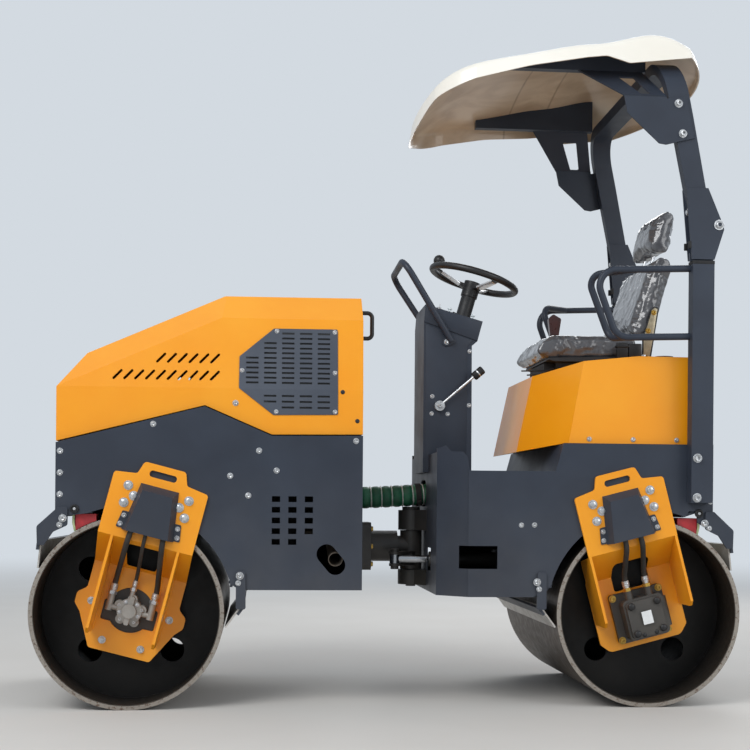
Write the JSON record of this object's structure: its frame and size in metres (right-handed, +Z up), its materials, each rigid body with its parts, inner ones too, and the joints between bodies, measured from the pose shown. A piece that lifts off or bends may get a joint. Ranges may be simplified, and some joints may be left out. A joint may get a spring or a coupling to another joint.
{
  "type": "tandem road roller",
  "caption": "Ride-on articulated tandem roller with two steel drums, an engine hood, a driver's seat and a folding roll-over hoop with a canopy.",
  "frame": {"origin": "on the ground, midway between the two drums' axles and on the centre plane", "axes": "+X towards the rear (the driver's end), +Y to the machine's right-hand side seen from the seat, +Z up"},
  "size_m": [2.63, 1.13, 2.5815],
  "materials": {
    "yellow_paint": "gloss",
    "slate_paint": "satin",
    "drum_steel": "worn by the road, rusty at the edges",
    "black_paint": "satin",
    "spring_steel": "dull",
    "engine_grey": "cast",
    "hard_chrome": "polished",
    "canopy_white": "gloss outside, beige beneath",
    "seat_black": "black vinyl under a clear film",
    "hose_rubber": "matt",
    "grip_plastic": "matt",
    "cast_silver": "bare casting",
    "hose_green": "ribbed, with a zinc wire",
    "bright_zinc": "zinc plated"
  },
  "bodies": {
    "rear_frame": {"rear_side_left": "slate_paint", "rear_side_right": "slate_paint", "rear_chassis": "slate_paint", "seat_box": "yellow_paint", "console": "slate_paint", "steering_column": "black_paint", "grab_handle": "slate_paint", "drive_lever": "black_paint", "lower_posts": "slate_paint", "joint_lugs": "black_paint", "cylinder_anchor": "black_paint", "side_rails": "slate_paint", "seat_cushion": "seat_black", "seat_back": "seat_black", "headrest": "seat_black", "seat_frame": "black_paint", "headrest_stays": "hard_chrome", "travel_lever": "grip_plastic", "filler_cap": "black_paint", "rear_drum_plates": "yellow_paint", "rear_plate_covers": "slate_paint", "rear_drive_motors": "black_paint", "rear_motor_hoses": "hose_rubber", "rear_scraper_blades": "spring_steel", "rear_scraper_arms": "slate_paint"},
    "joint_link": {"joint_link": "black_paint", "air_hose": "hose_green"},
    "front_frame": {"front_side_left": "slate_paint", "front_side_right": "slate_paint", "front_chassis": "slate_paint", "engine": "engine_grey", "exhaust_pipe": "spring_steel", "joint_housing": "black_paint", "front_drum_plates": "yellow_paint", "front_plate_covers": "slate_paint", "front_drive_motors": "cast_silver", "front_motor_rings": "black_paint", "front_motor_hoses": "hose_rubber", "front_scraper_blades": "spring_steel", "front_scraper_arms": "slate_paint"},
    "front_drum": {"front_drum": "drum_steel"},
    "rear_drum": {"rear_drum": "drum_steel"},
    "hood": {"hood": "yellow_paint", "hood_grilles": "slate_paint", "hood_handle": "black_paint"},
    "cylinder_barrel": {"cylinder_barrel": "black_paint"},
    "cylinder_rod": {"cylinder_rod": "hard_chrome"},
    "steering_wheel": {"steering_wheel": "grip_plastic", "steering_knob": "grip_plastic"},
    "fold_hoop": {"fold_hoop": "slate_paint", "canopy": "canopy_white", "canopy_frame": "slate_paint"}
  },
  "joints": [
    {"name": "articulation", "type": "hinge", "parent": "rear_frame", "child": "joint_link", "pos_m": [0.125, 0, 0.58], "axis": [0, 0, 1], "range_deg": [-30, 30]},
    {"name": "oscillation", "type": "hinge", "parent": "joint_link", "child": "front_frame", "pos_m": [0, 0, 0.584], "axis": [1, 0, 0], "range_deg": [-6, 6]},
    {"name": "front_drum_roll", "type": "hinge", "parent": "front_frame", "child": "front_drum", "pos_m": [-0.965, 0, 0.35], "axis": [0, 1, 0], "continuous": true},
    {"name": "rear_drum_roll", "type": "hinge", "parent": "rear_frame", "child": "rear_drum", "pos_m": [0.965, 0, 0.35], "axis": [0, 1, 0], "continuous": true},
    {"name": "hood_hinge", "type": "hinge", "parent": "front_frame", "child": "hood", "pos_m": [-1.226, 0, 0.961], "axis": [0, -1, 0], "range_deg": [0, 60]},
    {"name": "barrel_pivot", "type": "hinge", "parent": "rear_frame", "child": "cylinder_barrel", "pos_m": [0.492, -0.165, 0.538], "axis": [0, 0, 1], "range_deg": [-6, 6]},
    {"name": "rod_slide", "type": "slide", "parent": "cylinder_barrel", "child": "cylinder_rod", "axis": [-1, 0, 0], "range_m": [-0.09, 0.09]},
    {"name": "steering_turn", "type": "hinge", "parent": "rear_frame", "child": "steering_wheel", "pos_m": [0.375, 0, 1.672], "axis": [0.2756, 0, 0.9613], "continuous": true},
    {"name": "canopy_fold", "type": "hinge", "parent": "rear_frame", "child": "fold_hoop", "pos_m": [1.204, 0, 1.801], "axis": [0, 1, 0], "range_deg": [0, 170]}
  ],
  "couplings": [
    {"joint": "barrel_pivot", "follows": "articulation", "ratio": 0.168},
    {"joint": "rod_slide", "follows": "articulation", "m_per_rad": -0.161}
  ]
}
